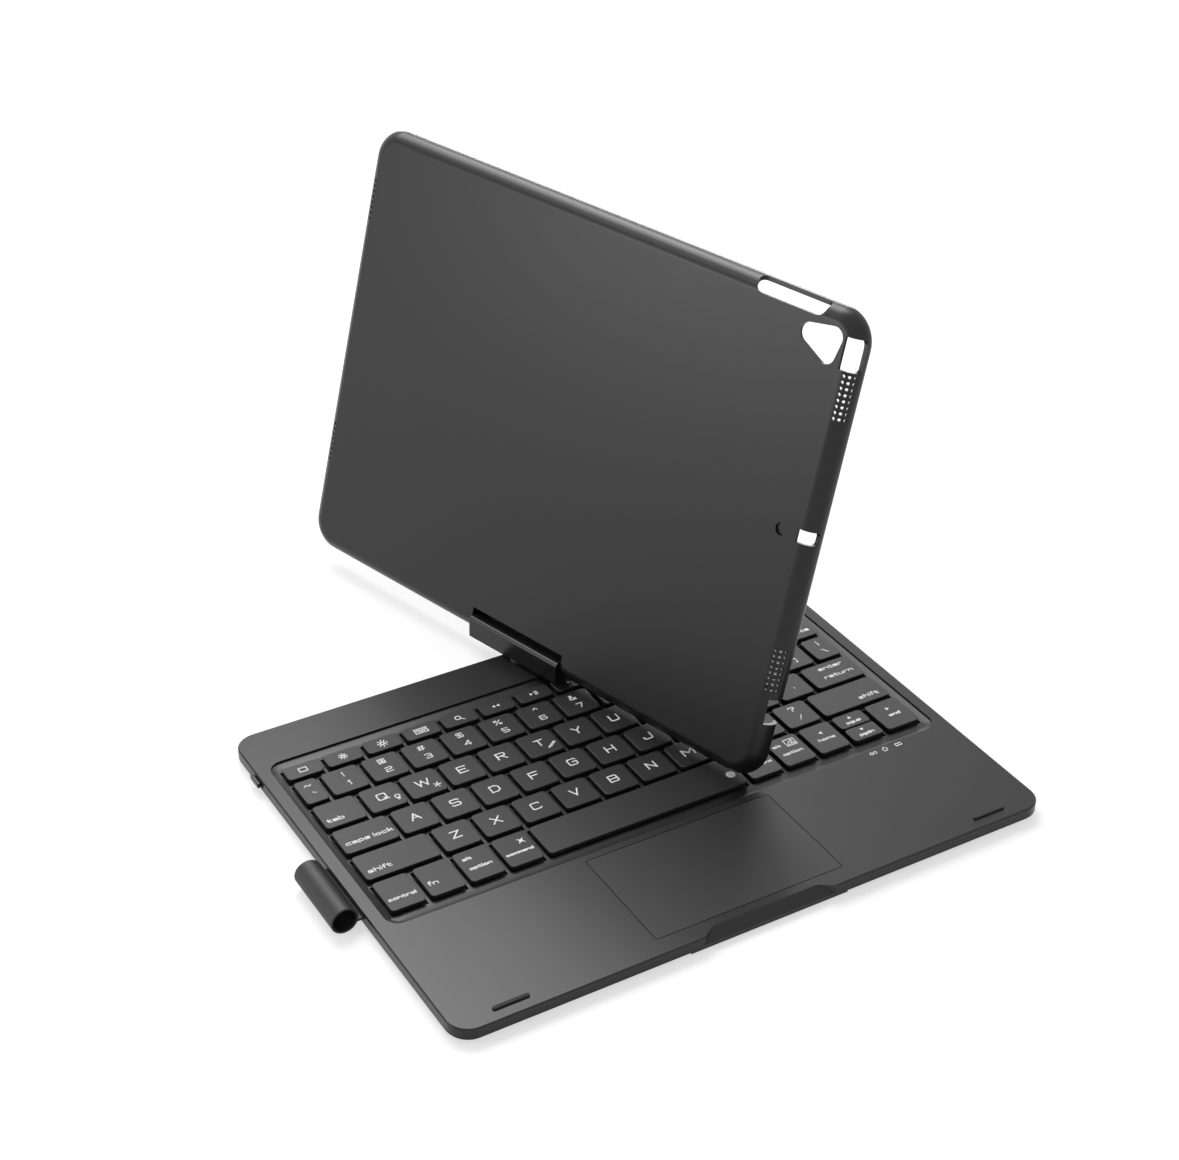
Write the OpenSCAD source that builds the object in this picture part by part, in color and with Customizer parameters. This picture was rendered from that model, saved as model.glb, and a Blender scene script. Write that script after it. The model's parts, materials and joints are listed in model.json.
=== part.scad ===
// Tablet keyboard case: a thin keyboard base, and a tray for the tablet that swivels
// and tilts on one hinge block at the middle of the rear edge. Millimetres, +Z up.
// The origin is on the desk under the swivel axis; +X is the typist's right, +Y is away
// from the typist.

/* [Tablet] */
// Long side of the tablet that the tray holds
tablet_w = 250.6; // [248:0.2:256]
// Short side of the tablet
tablet_h = 174.1; // [168:0.5:182]
// Thickness of the tablet
tablet_t = 6.1; // [5.8:0.1:6.8]

/* [Tray] */
// Thickness of the side walls
side_wall = 1.8; // [1.6:0.1:2.2]
// Thickness of the back panel
back_wall = 1.4; // [1.2:0.1:1.8]
// Rounding of the edge around the back panel
tray_edge_r = 6; // [5:0.25:6]
// Rounding of the edge on the screen side
tray_rim_r = 3; // [2.6:0.1:3.1]
// Rounding of the four corners seen from the back
tray_corner_r = 13; // [11:0.5:16]
// Height of the band below the tablet, where the hinge arms lie
hinge_band = 11.4; // [11.4:0.2:14]
// Thickness of the lip over the tablet's edge
lip_t = 1.6; // [1.4:0.1:2]
// How far the lip reaches over the tablet
lip_reach = 0.8; // [0.4:0.1:1.2]

/* [Base] */
// Thickness of the keyboard base without its feet
base_t = 5.2; // [5.2:0.1:6.4]
// Depth of the palm rest in front of the keys
palm_rest_d = 59.6; // [59.6:0.2:68]
// Depth of the strip behind the keys
rear_strip_d = 21.6; // [21.6:0.2:27]
// Width of the border beside the key recess
border_w = 5.3; // [5.3:0.1:7]
// Rounding of the base's four corners
base_corner_r = 9; // [7:0.5:12]
// Height of the feet
foot_h = 1.3; // [1:0.1:2]
// Thickness of the base's walls and deck
case_wall = 1.2; // [1:0.1:1.2]

/* [Keys] */
// Depth of a letter key's cap, front to back
key_d = 14.5; // [14:0.1:15.5]
// Depth of a function key's cap
fn_key_d = 8; // [7:0.1:9]
// Depth of the caps in the row nearest the palm rest
space_key_d = 17.2; // [16:0.1:18]
// Gap between caps, side to side
key_gap_x = 2.15; // [1.9:0.05:2.5]
// Gap between rows of caps
key_gap_y = 2.3; // [2:0.1:2.6]
// How far a key goes down
key_travel = 1.4; // [1:0.1:1.4]
// How far the caps stand above the deck
key_rise = 0.4; // [0.2:0.1:0.5]

/* [Trackpad] */
// Width of the trackpad
pad_w = 80.6; // [72:0.2:82]
// Depth of the trackpad
pad_d = 48.5; // [44:0.5:48.5]

/* [Hinge] */
// Width of the hinge block
block_w = 50; // [48:1:58]
// Depth of the hinge block
block_d = 10; // [9.6:0.1:10]
// Distance of the swivel axis from the rear edge of the base
axis_inset = 5.2; // [5.2:0.1:8]
// Radius of the upright swivel shaft
shaft_r = 2; // [1.8:0.1:2.2]
// Radius of the two tilt pins
pin_r = 1.5; // [1.3:0.05:1.5]
// Gap between the deck and the closed tray
closed_gap = 1.2; // [1.2:0.1:2]

/* [Stylus] */
// Radius of the stylus that the loop holds
stylus_r = 4.45; // [4:0.05:4.8]
// Length of the loop along the stylus
loop_len = 31; // [20:1:40]

/* [Pose] */
// Swivel of the tray from its place facing the typist, seen from above
rest_swivel = 106; // [0:1:180]
// Tilt of the tray from closed
rest_tilt = 75; // [0:1:180]

/* [Hidden] */
$fn = 48;

// Fits and small clearances
cut = 1;
running_fit = 0.03;
pocket_gap = 0.2;
part_gap = 0.3;
panel_gap = 0.1;

// Colours
case_black = [0.13, 0.13, 0.14];
key_black = [0.17, 0.17, 0.18];
rubber_black = [0.08, 0.08, 0.08];
steel = [0.68, 0.69, 0.71];
dark_steel = [0.32, 0.33, 0.35];
brass_gold = [0.72, 0.60, 0.32];
board_green = [0.10, 0.28, 0.18];
cell_silver = [0.55, 0.57, 0.60];
film_clear = [0.80, 0.82, 0.85];
lamp_white = [0.90, 0.92, 0.95];

// Tray, in its own frame: u along the tilt axis, v from the axis to the far edge,
// w from the screen side (below) to the back (above). The tilt axis is u = v = w = 0.
pocket_w = tablet_w + 2 * pocket_gap;
pocket_h = tablet_h + 2 * pocket_gap;
pocket_t = tablet_t + panel_gap;
tray_w = pocket_w + 2 * side_wall;
tray_back = 3.4;
pocket_back = tray_back - back_wall;
pocket_front = pocket_back - pocket_t;
tray_front = pocket_front - lip_t;
tray_t = tray_back - tray_front;
tray_low = -4.5;
pocket_low = tray_low + hinge_band;
pocket_top = pocket_low + pocket_h;
tray_top = pocket_top + side_wall;
tray_h = tray_top - tray_low;
pocket_edge_r = tray_edge_r - 2;
pocket_corner_r = tray_corner_r - side_wall;

// Base outline and levels
base_w = tray_w;
row_pitch = key_d + key_gap_y;
key_margin_x = 3.9;
key_margin_front = 6.7;
key_margin_back = 5.6;
rows_d = space_key_d + key_gap_y + 4 * row_pitch + fn_key_d;
recess_d = key_margin_front + rows_d + key_margin_back;
base_d = palm_rest_d + recess_d + rear_strip_d;
recess_w = base_w - 2 * border_w;
recess_back = palm_rest_d + recess_d;
recess_corner_r = 6;
recess_slope = 3.2;
recess_step = 0.9;
recess_depth = 1.6;
floor_t = 0.7;
deck_edge = 0.5;
cover_t = 0.8;
cover_inset = 0.6;
cover_top = foot_h + cover_t;
deck_z = foot_h + base_t;
deck_under = deck_z - case_wall;
recess_z = deck_z - recess_depth;
floor_z = recess_z - floor_t;
axis_y = base_d - axis_inset;

// Layers under the keys, from the bottom cover up
guide_t = 0.4;
plate_t = 0.3;
film_t = 0.2;
plate_z = cover_top + guide_t;
membrane_z = plate_z + plate_t;
dome_z = membrane_z + film_t;
stack_top = dome_z + film_t;
stack_margin = 1.7;
stack_corner_r = 2;
tail_x = 57;
tail_w = 20;
tail_len = 6;
rib_w = 1.2;
rib_end = 6;

// Key caps. A row is row_units pitches wide; each number below is a cap's share of it.
row_units = 13.9;
block_keys_w = recess_w - 2 * key_margin_x;
unit = (block_keys_w + key_gap_x) / row_units;
cap_h = 1.8;
cap_wall = 1;
cap_corner_r = 1.6;
cap_top = deck_z + key_rise;
cap_room = 0.4;
dome_room = 0.5;
dome_h = cap_top - cap_wall - key_travel - dome_room - stack_top;
dome_r = 2.4;
dome_top_r = 1.2;
half_cap_gap = 0.8;
half_cap_switches = [0.26, 0.74];
left_keys_x = border_w + key_margin_x;
row_space_y = palm_rest_d + key_margin_front;
row_z_y = row_space_y + space_key_d + key_gap_y;
row_a_y = row_z_y + row_pitch;
row_q_y = row_a_y + row_pitch;
row_number_y = row_q_y + row_pitch;
row_function_y = row_number_y + row_pitch;
function ones(n) = [for (i = [1 : n]) 1];
function total(list, n, i = 0) = i < n ? list[i] + total(list, n, i + 1) : 0;
function filled(list) = concat(list, [row_units - total(list, len(list))]);
number_units = filled(concat([0.66], ones(12)));
q_units = filled(concat([1.11], ones(12)));
a_units = filled(concat([1.41], ones(11)));
z_units = filled(concat([1.90], ones(10)));
small_unit = 0.95;
space_units = filled([
    small_unit, small_unit, small_unit, small_unit, 5.27,
    small_unit, small_unit, small_unit, small_unit
]);
function_keys_n = 14;
function_units = [for (i = [1 : function_keys_n]) row_units / function_keys_n];
ROWS = [
    [space_units, row_space_y, space_key_d], [z_units, row_z_y, key_d],
    [a_units, row_a_y, key_d], [q_units, row_q_y, key_d],
    [number_units, row_number_y, key_d], [function_units, row_function_y, fn_key_d]
];
SPACE_ROW = 0;
Z_ROW = 1;
A_ROW = 2;
Q_ROW = 3;
NUMBER_ROW = 4;
FUNCTION_ROW = 5;
up_down_cell = 8;

// Trackpad, hinged at its far edge, with a switch under its near edge
pad_x = base_w / 2 - 3.5;
pad_front = 7.9;
pad_gap = 0.3;
pad_t = 1;
pad_back = pad_front + pad_d;
pad_axis_y = pad_back + 0.9;
pad_axis_z = deck_z - 2.2;
pad_pin_r = 0.4;
pad_corner_r = 0.8;
pad_board_t = 0.6;
pad_board_side = 3.3;
pad_board_front = 2.6;
pad_board_back = 3.9;
pad_board_w = pad_w - 2 * pad_board_side;
pad_board_d = pad_d - pad_board_front - pad_board_back;
pad_lug_w = 5;
pad_lug_x = pad_board_w / 2 - 8;
pad_lug_r = 0.75;
pad_lug_reach = 2.6;
pad_lug_stem = 1.5;
pad_ear_w = 1.5;
pad_ear_d = 2.4;
pad_ear_top = 0.7;
bracket_t = 0.4;
bracket_up = 0.8;
bracket_z = cover_top + bracket_up;
bracket_in = 2;
bracket_post_r = 1.5;
pad_switch_w = 5;
pad_switch_y = pad_front + 6.5;
pad_plunger_r = 1.2;
pad_plunger_gap = 0.65;
pad_switch_h = 1.8;

// Hinge block, shaft and tilt pins
washer_r = 4.6;
washer_t = 0.85;
thrust_gap = 0.05;
bush_wall = 1;
flange_t = 0.4;
swivel_plate_t = 1;
block_low = deck_z + washer_t + thrust_gap;
tilt_z = deck_z + closed_gap - tray_front;
block_high = tilt_z + tray_back;
block_edge_r = 1.6;
head_r = shaft_r + 1.2;
head_z = block_low + 1.8;
head_t = 1.6;
head_room_w = 11;
sleeve_r = 2.5;
sleeve_low = 8.2;
block_cover_w = 15;
block_cover_t = 1.2;
block_cover_h = 5.4;
block_cover_up = 2.6;
cover_fit = 0.05;
drive_slot_w = 0.8;
drive_slot_d = 0.7;
head_room_h = 2;
sleeve_room = 0.2;
nut_r = 3.6;
nut_t = 1;
wave_t = 0.4;
bush_low = deck_under - swivel_plate_t - flange_t;
nut_low = bush_low - thrust_gap - wave_t - nut_t;
swivel_plate_w = 44;
swivel_plate_front = 9.6;
swivel_plate_gap = 0.4;
swivel_plate_back = axis_inset - case_wall - swivel_plate_gap;
plate_screw_x = 17;
plate_screw_y = [-6, 0];
notch_gap = 0.5;
notch_top = 5.9;
arm_gap = 0.9;
arm_len = 34.1;
arm_low = -2;
arm_high = 5.4;
arm_t = 1.4;
arm_back = 0.9;
knuckle_r = 2.6;
knuckle_len = 7.2;
pin_low = 9;
channel_len = 37;
channel_end = block_w / 2 + channel_len;
channel_fit = 0.1;
strip_low = -1.3;
strip_high = 5.6;
strip_t = 1.1;
arm_screw_u = [15, 29];
arm_screw_v = 1.8;
arm_screw_r = 0.8;
arm_screw_depth = 1.2;
arm_screw_head_t = 0.8;
knuckle_fit = 0.05;

// Stylus loop beside the left edge
loop_gap = 0.15;
loop_wall = 0.8;
loop_bore_r = stylus_r + loop_gap;
loop_r = loop_bore_r + loop_wall;
loop_side = 1.7;
loop_floor = 0.54;
loop_front = 71;
web_z = foot_h + 2.3;
web_t = 1;
anchor_t = 2.6;
anchor_x = case_wall + 0.1;
anchor_gap = 0.2;

// Power switch in the left wall
switch_back = 29.2;
switch_y = base_d - switch_back;
switch_len = 7;
switch_travel = 2.5;
nub_out = 1.6;
nub_t = 1.3;
nub_h = 2;
neck_h = 1;
neck_in = 1;
flange_x = case_wall + part_gap;
switch_flange_t = 0.8;
switch_box_t = 1.5;
switch_z = foot_h + 1.9;
slide_gap = 0.3;

// Charge port in the right wall, and the board behind it
port_back = 12.2;
port_y = base_d - port_back;
port_w = 7.6;
port_h = 2.6;
port_len = 6.8;
port_wall = 0.4;
port_z = cover_top + port_wall + port_h / 2;
board_t = 0.8;
board_up = 0.8;
board_z = cover_top + board_up;
board_w = 97;
board_d = 16.5;

// Screws, feet and bumpers
boss_r = 2.2;
screw_r = 0.8;
screw_head_r = 1.5;
screw_head_t = 0.5;
screw_len = 2.8;
screw_slot_w = 0.4;
screw_slot_d = 0.3;
screw_slot_len = 1;
boss_side = 5.6;
boss_front = 14;
boss_back = 13.6;
pad_boss_y = 10;
pad_boss_left = 3.2;
pad_boss_right = 2.8;
rear_boss_left = 12;
rear_boss_right = 14;
rear_boss_back = 10.2;
boss_places = [
    [boss_side, boss_front], [boss_side, palm_rest_d - boss_back],
    [base_w - boss_side, boss_front], [base_w - boss_side, palm_rest_d - boss_back],
    [pad_x - pad_w / 2 - pad_boss_left, pad_boss_y],
    [pad_x + pad_w / 2 + pad_boss_right, pad_boss_y],
    [rear_boss_left, base_d - rear_boss_back],
    [base_w - rear_boss_right, base_d - rear_boss_back]
];
foot_r = 4;
foot_inset = 11;
desk_pad_w = 50;
desk_pad_d = 6;
desk_pad_r = 1.5;
bumper_w = 14.5;
bumper_d = 1.6;
bumper_rise = 0.8;
bumper_sink = 0.6;
bumper_x = 103.7;
bumper_y = 5.6;

// Finger notch in the front edge
notch_outer = 31.5;
notch_inner = 22.3;
notch_d = 4;
notch_drop = 3.4;
notch_boss = 34;
notch_boss_d = 6;

// Lights beside the trackpad, from the right edge
window_r = 0.9;
window_x = [39.2, 33.6, 27];

// Magnets, batteries beside the trackpad, and the parts on the main board
magnet_w = 3.6;
magnet_d = 12;
magnet_t = 0.8;
magnet_out = 5.2;
magnet_y = [22, 38];
battery_side = 10;
battery_front = 6;
battery_gap = 1.3;
battery_back = 5.6;
battery_room = 0.4;
battery_w = pad_x - pad_w / 2 - magnet_out - battery_gap - battery_side;
battery_d = palm_rest_d - battery_front - battery_back;
battery_t = deck_under - cover_top - battery_room;
board_side = 7.2;
board_front = 2.4;
chips = [
    [0.456, 3.6, 8, 8, 0.9], [0.249, 5.6, 6, 5, 0.8], [0.085, 2.6, 10, 3, 1],
    [0.59, 9.6, 1.6, 0.8, 0.6], [0.63, 9.6, 1.6, 0.8, 0.6], [0.67, 9.6, 1.6, 0.8, 0.6],
    [0.71, 9.6, 1.6, 0.8, 0.6]
];

// Openings in the tray for the tablet's camera, buttons, sound and sockets. Places are
// from the tablet's corner behind the camera, or from the pocket's lower edge.
camera_corners = [[-20.7, -10.9], [-10.2, -9], [-11.7, -15.5]];
camera_r = 4;
blend = 0.01;
back_hole = [-12.5, -84.2];
back_hole_r = 2.5;
back_hole_depth = 1;
volume_from = 48.5;
volume_to = 16;
volume_drop = 3.8;
volume_w = 1;
volume_h = 4.4;
volume_end_in = 0.3;
power_from = 19.2;
power_to = 6.9;
side_slot_in = 7.2;
side_slot_front = -1.5;
side_slot_r = 1.6;
mic_slot_v = 90.7;
mic_slot_w = 5.2;
sound_rows = 8;
sound_pitch = 2.3;
sound_hole_r = 0.6;
sound_turns = [30, 52, 74];
sound_from = pocket_edge_r - sound_hole_r;
sound_high = 29.05;
sound_low = 36.9;
end_in = 3;
socket_in = 6.1;
socket_from = 14.4;
socket_to = 24.8;
port_slot_w = 13;
port_slot_h = 5;

// ---------------------------------------------------------------- shapes

// Rectangle with round corners, centred on X, from y = 0 to d
module round_rect(w, d, r) {
    translate([-w / 2 + r, 0]) square([w - 2 * r, d]);
    translate([-w / 2, r]) square([w, d - 2 * r]);
    for (x = [-w / 2 + r, w / 2 - r])
        for (y = [r, d - r])
            translate([x, y]) circle(r);
}

// Plate with round corners, from z to z + h
module round_plate(w, d, r, z, h) {
    translate([0, 0, z]) linear_extrude(h) round_rect(w, d, r);
}

// The same plate with sides that lean in by slope at the top
module leaning_plate(w, d, r, z, h, slope) {
    for (x = [-w / 2 + r, w / 2 - r])
        for (y = [r, d - r])
            translate([x, y, z]) cylinder(h = h, r1 = r, r2 = r - slope);
    translate([0, d - r, z]) rotate([90, 0, 0]) linear_extrude(d - 2 * r)
        polygon([[-w / 2, 0], [w / 2, 0], [w / 2 - slope, h], [-w / 2 + slope, h]]);
    translate([-w / 2 + r, 0, z]) rotate([90, 0, 90]) linear_extrude(w - 2 * r)
        polygon([[0, 0], [d, 0], [d - slope, h], [slope, h]]);
}

// Quarter of a disc to the right of its middle, above it or below it
module quarter_disc(r, above) {
    intersection() {
        circle(r);
        translate([0, above ? 0 : -r]) square(r);
    }
}

// Half of a plate's edge profile: r wide, h high, rounded below and above
module half_profile(r, h, low_r, high_r) {
    translate([0, low_r]) square([r, h - low_r - high_r]);
    if (low_r > 0) {
        square([r - low_r, low_r]);
        translate([r - low_r, low_r]) quarter_disc(low_r, false);
    }
    if (high_r > 0) {
        translate([0, h - high_r]) square([r - high_r, high_r]);
        translate([r - high_r, h - high_r]) quarter_disc(high_r, true);
    }
}

// Plate with round corners and rounded lower and upper edges
module soft_plate(w, d, r, z, h, low_r, high_r) {
    translate([0, d / 2, z]) {
        translate([-w / 2 + r, -d / 2 + r, 0]) cube([w - 2 * r, d - 2 * r, h]);
        for (turn = [0 : 3]) {
            reach = (turn % 2 == 0 ? w : d) / 2 - r;
            side = (turn % 2 == 0 ? d : w) / 2 - r;
            rotate(90 * turn) translate([reach, side, 0]) {
                rotate([90, 0, 0]) linear_extrude(2 * side)
                    half_profile(r, h, low_r, high_r);
                rotate_extrude(angle = 90) half_profile(r, h, low_r, high_r);
            }
        }
    }
}

// Box from its lowest corner to its highest
module block(low, high) {
    translate(low) cube(high - low);
}

// Upright cylinder from z = low to high
module post(r, low, high) {
    translate([0, 0, low]) cylinder(h = high - low, r = r);
}

// Rod along X from x = low to high
module rod(r, low, high) {
    translate([low, 0, 0]) rotate([0, 90, 0]) cylinder(h = high - low, r = r);
}

// Slot with round ends, w along X and h along Y, from its middle
module round_slot(w, h) {
    square([w - h, h], center = true);
    for (x = [-1, 1])
        translate([x * (w - h) / 2, 0]) circle(h / 2);
}

// Triangle grown by r, with round corners; its sides lie a hair inside the corners' tangents
module round_triangle(corners, r) {
    polygon(corners);
    for (i = [0 : 2]) {
        along = corners[(i + 1) % 3] - corners[i];
        translate(corners[i]) circle(r);
        translate(corners[i]) rotate(atan2(along[1], along[0]))
            translate([0, blend - r]) square([norm(along), 2 * (r - blend)]);
    }
}

// ---------------------------------------------------------------- frames

// The base's frame: X from its middle, Y from its front edge
module from_front() {
    translate([0, -axis_y]) children();
}

// The same with X from the left edge
module from_corner() {
    translate([-base_w / 2, -axis_y]) children();
}

// The swivelled block's frame: X along the tilt axis, +Y towards the screen side
module at_swivel() {
    rotate([0, 0, 180 + rest_swivel]) children();
}

// The tray's frame
module at_tilt() {
    at_swivel() translate([0, 0, tilt_z]) rotate([rest_tilt, 0, 0]) children();
}

// ---------------------------------------------------------------- keys

// Left edge and width of cell i of a row, and the row's last cell
function cell_x(units, i) = left_keys_x + total(units, i) * unit;
function cell_w(units, i) = units[i] * unit - key_gap_x;
function last_cell(row) = len(row[0]) - 1;

// Opening in the key floor for cell i of a row
module cell_opening(row, i) {
    x = cell_x(row[0], i);
    block([x - cap_room, row[1] - cap_room, floor_z - cut],
        [x + cell_w(row[0], i) + cap_room, row[1] + row[2] + cap_room, recess_z + cut]);
}

// A hollow cap w wide and d deep, from its near left corner
module cap(w, d) {
    difference() {
        translate([w / 2, 0]) round_plate(w, d, cap_corner_r, cap_top - cap_h, cap_h);
        block([cap_wall, cap_wall, cap_top - cap_h - cut],
            [w - cap_wall, d - cap_wall, cap_top - cap_wall]);
    }
}

// Caps first to last of a row
module caps(row, first, last) {
    color(key_black) from_corner()
        for (i = [first : last])
            translate([cell_x(row[0], i), row[1]]) cap(cell_w(row[0], i), row[2]);
}

// The cap at a row's left end, the one at its right end, and those between them
module first_cap(row) {
    caps(row, 0, 0);
}

module last_cap(row) {
    caps(row, last_cell(row), last_cell(row));
}

module middle_caps(row) {
    caps(row, 1, last_cell(row) - 1);
}

// One of the two half-height arrow caps
module half_cap(upper) {
    row = ROWS[SPACE_ROW];
    half_d = (row[2] - half_cap_gap) / 2;
    y = row[1] + (upper ? half_d + half_cap_gap : 0);
    color(key_black) from_corner()
        translate([cell_x(row[0], up_down_cell), y])
            cap(cell_w(row[0], up_down_cell), half_d);
}

module function_keys() {
    caps(ROWS[FUNCTION_ROW], 0, last_cell(ROWS[FUNCTION_ROW]));
}

module number_keys() {
    middle_caps(ROWS[NUMBER_ROW]);
}

module top_letter_keys() {
    middle_caps(ROWS[Q_ROW]);
}

module home_letter_keys() {
    middle_caps(ROWS[A_ROW]);
}

module bottom_letter_keys() {
    middle_caps(ROWS[Z_ROW]);
}

module key_grave() {
    first_cap(ROWS[NUMBER_ROW]);
}

module key_delete() {
    last_cap(ROWS[NUMBER_ROW]);
}

module key_tab() {
    first_cap(ROWS[Q_ROW]);
}

module key_backslash() {
    last_cap(ROWS[Q_ROW]);
}

module key_caps_lock() {
    first_cap(ROWS[A_ROW]);
}

module key_return() {
    last_cap(ROWS[A_ROW]);
}

module key_shift_left() {
    first_cap(ROWS[Z_ROW]);
}

module key_shift_right() {
    last_cap(ROWS[Z_ROW]);
}

module key_control() {
    first_cap(ROWS[SPACE_ROW]);
}

module key_fn() {
    caps(ROWS[SPACE_ROW], 1, 1);
}

module key_alt_left() {
    caps(ROWS[SPACE_ROW], 2, 2);
}

module key_meta_left() {
    caps(ROWS[SPACE_ROW], 3, 3);
}

module key_space() {
    caps(ROWS[SPACE_ROW], 4, 4);
}

module key_meta_right() {
    caps(ROWS[SPACE_ROW], 5, 5);
}

module key_alt_right() {
    caps(ROWS[SPACE_ROW], 6, 6);
}

module key_arrow_left() {
    caps(ROWS[SPACE_ROW], 7, 7);
}

module key_arrow_up() {
    half_cap(true);
}

module key_arrow_down() {
    half_cap(false);
}

module key_arrow_right() {
    last_cap(ROWS[SPACE_ROW]);
}

// ---------------------------------------------------------------- base

// Places of the screws through the bottom cover
module at_bosses() {
    for (p = boss_places)
        translate(p) children();
}

// Places of the screws that hold the swivel plate
module at_plate_screws() {
    for (x = [-1, 1])
        for (y = plate_screw_y)
            translate([x * plate_screw_x, y]) children();
}

// The recess in the deck around the keys: a step, and a ramp down to the key floor
module key_recess() {
    translate([0, palm_rest_d]) mirror([0, 0, 1]) {
        round_plate(recess_w, recess_d, recess_corner_r, -deck_z - cut, recess_step + cut);
        leaning_plate(recess_w, recess_d, recess_corner_r, recess_step - deck_z,
            recess_depth - recess_step, recess_slope);
    }
}

// The notch that a finger opens the case by
module finger_notch() {
    intersection() {
        translate([0, 0, foot_h]) linear_extrude(base_t + cut)
            polygon([[-notch_outer - notch_d, -notch_d], [notch_outer + notch_d, -notch_d],
                [notch_inner, notch_d], [-notch_inner, notch_d]]);
        translate([-notch_outer - cut, 0, deck_z]) rotate([90, 0, 90])
            linear_extrude(2 * notch_outer + 2 * cut)
                polygon([[notch_d, 0], [notch_d, cut], [-cut, cut], [-cut, -notch_drop],
                    [0, -notch_drop]]);
    }
}

// Bars under the key floor, one between each two rows
module floor_ribs() {
    for (i = [1 : FUNCTION_ROW]) {
        y = ROWS[i][1] - key_gap_y / 2;
        block([border_w + rib_end, y - rib_w / 2, stack_top],
            [base_w - border_w - rib_end, y + rib_w / 2, floor_z + cut / 4]);
    }
}

module top_case() {
    color(case_black) difference() {
        union() {
            from_front() difference() {
                union() {
                    round_plate(base_w, base_d, base_corner_r, cover_top,
                        deck_z - deck_edge - cover_top);
                    leaning_plate(base_w, base_d, base_corner_r, deck_z - deck_edge,
                        deck_edge, deck_edge);
                }
                translate([0, case_wall])
                    round_plate(base_w - 2 * case_wall, base_d - 2 * case_wall,
                        base_corner_r - case_wall, cover_top - cut,
                        deck_under - cover_top + cut);
            }
            from_front() translate([0, palm_rest_d])
                round_plate(recess_w, recess_d, recess_corner_r, floor_z,
                    deck_under + cut / 4 - floor_z);
            from_front() block([-notch_boss, 0, cover_top],
                [notch_boss, notch_boss_d, deck_under + cut / 4]);
            from_corner() floor_ribs();
            from_corner() at_bosses() post(boss_r, cover_top, deck_under + cut / 4);
        }
        from_front() key_recess();
        from_front() finger_notch();
        from_corner() {
            for (row = ROWS)
                for (i = [0 : last_cell(row)])
                    cell_opening(row, i);
            at_bosses() post(screw_r, cover_top - cut, cover_top + screw_len);
            translate([pad_x, pad_front - pad_gap])
                round_plate(pad_w + 2 * pad_gap, pad_d + 2 * pad_gap,
                    pad_corner_r + pad_gap, deck_under - cut, case_wall + 2 * cut);
            for (x = window_x)
                translate([base_w - x, pad_axis_y]) post(window_r, deck_under - cut, deck_z + cut);
        }
        from_front() for (x = [-1, 1])
            translate([x * bumper_x, bumper_y, deck_z - bumper_sink])
                linear_extrude(bumper_sink + cut) round_slot(bumper_w, bumper_d);
        switch_slot();
        port_opening();
        loop_slot();
        post(shaft_r + running_fit + bush_wall, deck_under - cut, deck_z + cut);
        at_plate_screws() post(screw_r, deck_under - cut, deck_z - case_wall / 2);
    }
}

// Opening in the left wall for the neck of the power switch
module switch_slot() {
    from_corner() block([-cut, switch_y - slide_gap - switch_travel + neck_in,
        switch_z + (nub_h - neck_h) / 2 - slide_gap],
        [case_wall + cut, switch_y + switch_len - neck_in + slide_gap,
        switch_z + (nub_h + neck_h) / 2 + slide_gap]);
}

// Opening in the right wall for the charge port
module port_opening() {
    from_corner() translate([base_w - case_wall - cut, port_y, port_z])
        rotate([90, 0, 90]) linear_extrude(case_wall + 2 * cut)
            round_slot(port_w, port_h);
}

// Opening in the left wall for the web of the stylus loop
module loop_slot() {
    from_corner() block([-cut, loop_front, web_z],
        [case_wall + cut, loop_front + loop_len, web_z + web_t]);
}

module bottom_cover() {
    color(case_black) difference() {
        from_front() union() {
            translate([0, cover_inset])
                round_plate(base_w - 2 * cover_inset, base_d - 2 * cover_inset,
                    base_corner_r - cover_inset, foot_h, cover_t);
            block([-notch_boss, 0, foot_h], [notch_boss, notch_boss_d, cover_top]);
        }
        from_corner() at_bosses() {
            post(screw_r, foot_h - cut, cover_top + cut);
            post(screw_head_r, foot_h - cut, foot_h + screw_head_t);
        }
    }
}

module base_screws() {
    color(dark_steel) from_corner() at_bosses() {
        post(screw_r, foot_h, cover_top + screw_len - pocket_gap);
        difference() {
            post(screw_head_r, foot_h, foot_h + screw_head_t);
            for (turn = [0, 90])
                rotate(turn)
                    block([-screw_slot_len, -screw_slot_w / 2, foot_h - cut],
                        [screw_slot_len, screw_slot_w / 2, foot_h + screw_slot_d]);
        }
    }
}

module rubber_feet() {
    color(rubber_black) from_front()
        for (x = [-1, 1])
            for (y = [foot_inset, base_d - foot_inset])
                translate([x * (base_w / 2 - foot_inset), y]) post(foot_r, 0, foot_h);
}

module desk_pad() {
    color(rubber_black) translate([0, -desk_pad_d / 2, 0]) linear_extrude(foot_h)
        round_rect(desk_pad_w, desk_pad_d, desk_pad_r);
}

module deck_bumpers() {
    color(rubber_black) from_front()
        for (x = [-1, 1])
            translate([x * bumper_x, bumper_y, deck_z - bumper_sink])
                linear_extrude(bumper_sink + bumper_rise) round_slot(bumper_w, bumper_d);
}

module indicator_windows() {
    color(lamp_white) from_corner()
        for (x = window_x)
            translate([base_w - x, pad_axis_y]) post(window_r, deck_under, deck_z);
}

// A sheet over the key area, from z to z + h
module key_sheet(z, h) {
    translate([0, palm_rest_d + stack_margin])
        round_plate(recess_w - 2 * stack_margin, recess_d - 2 * stack_margin,
            stack_corner_r, z, h);
}

module backlight_guide() {
    color(film_clear) from_front() key_sheet(cover_top, guide_t);
}

module key_backplate() {
    color(steel) from_front() key_sheet(plate_z, plate_t);
}

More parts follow.
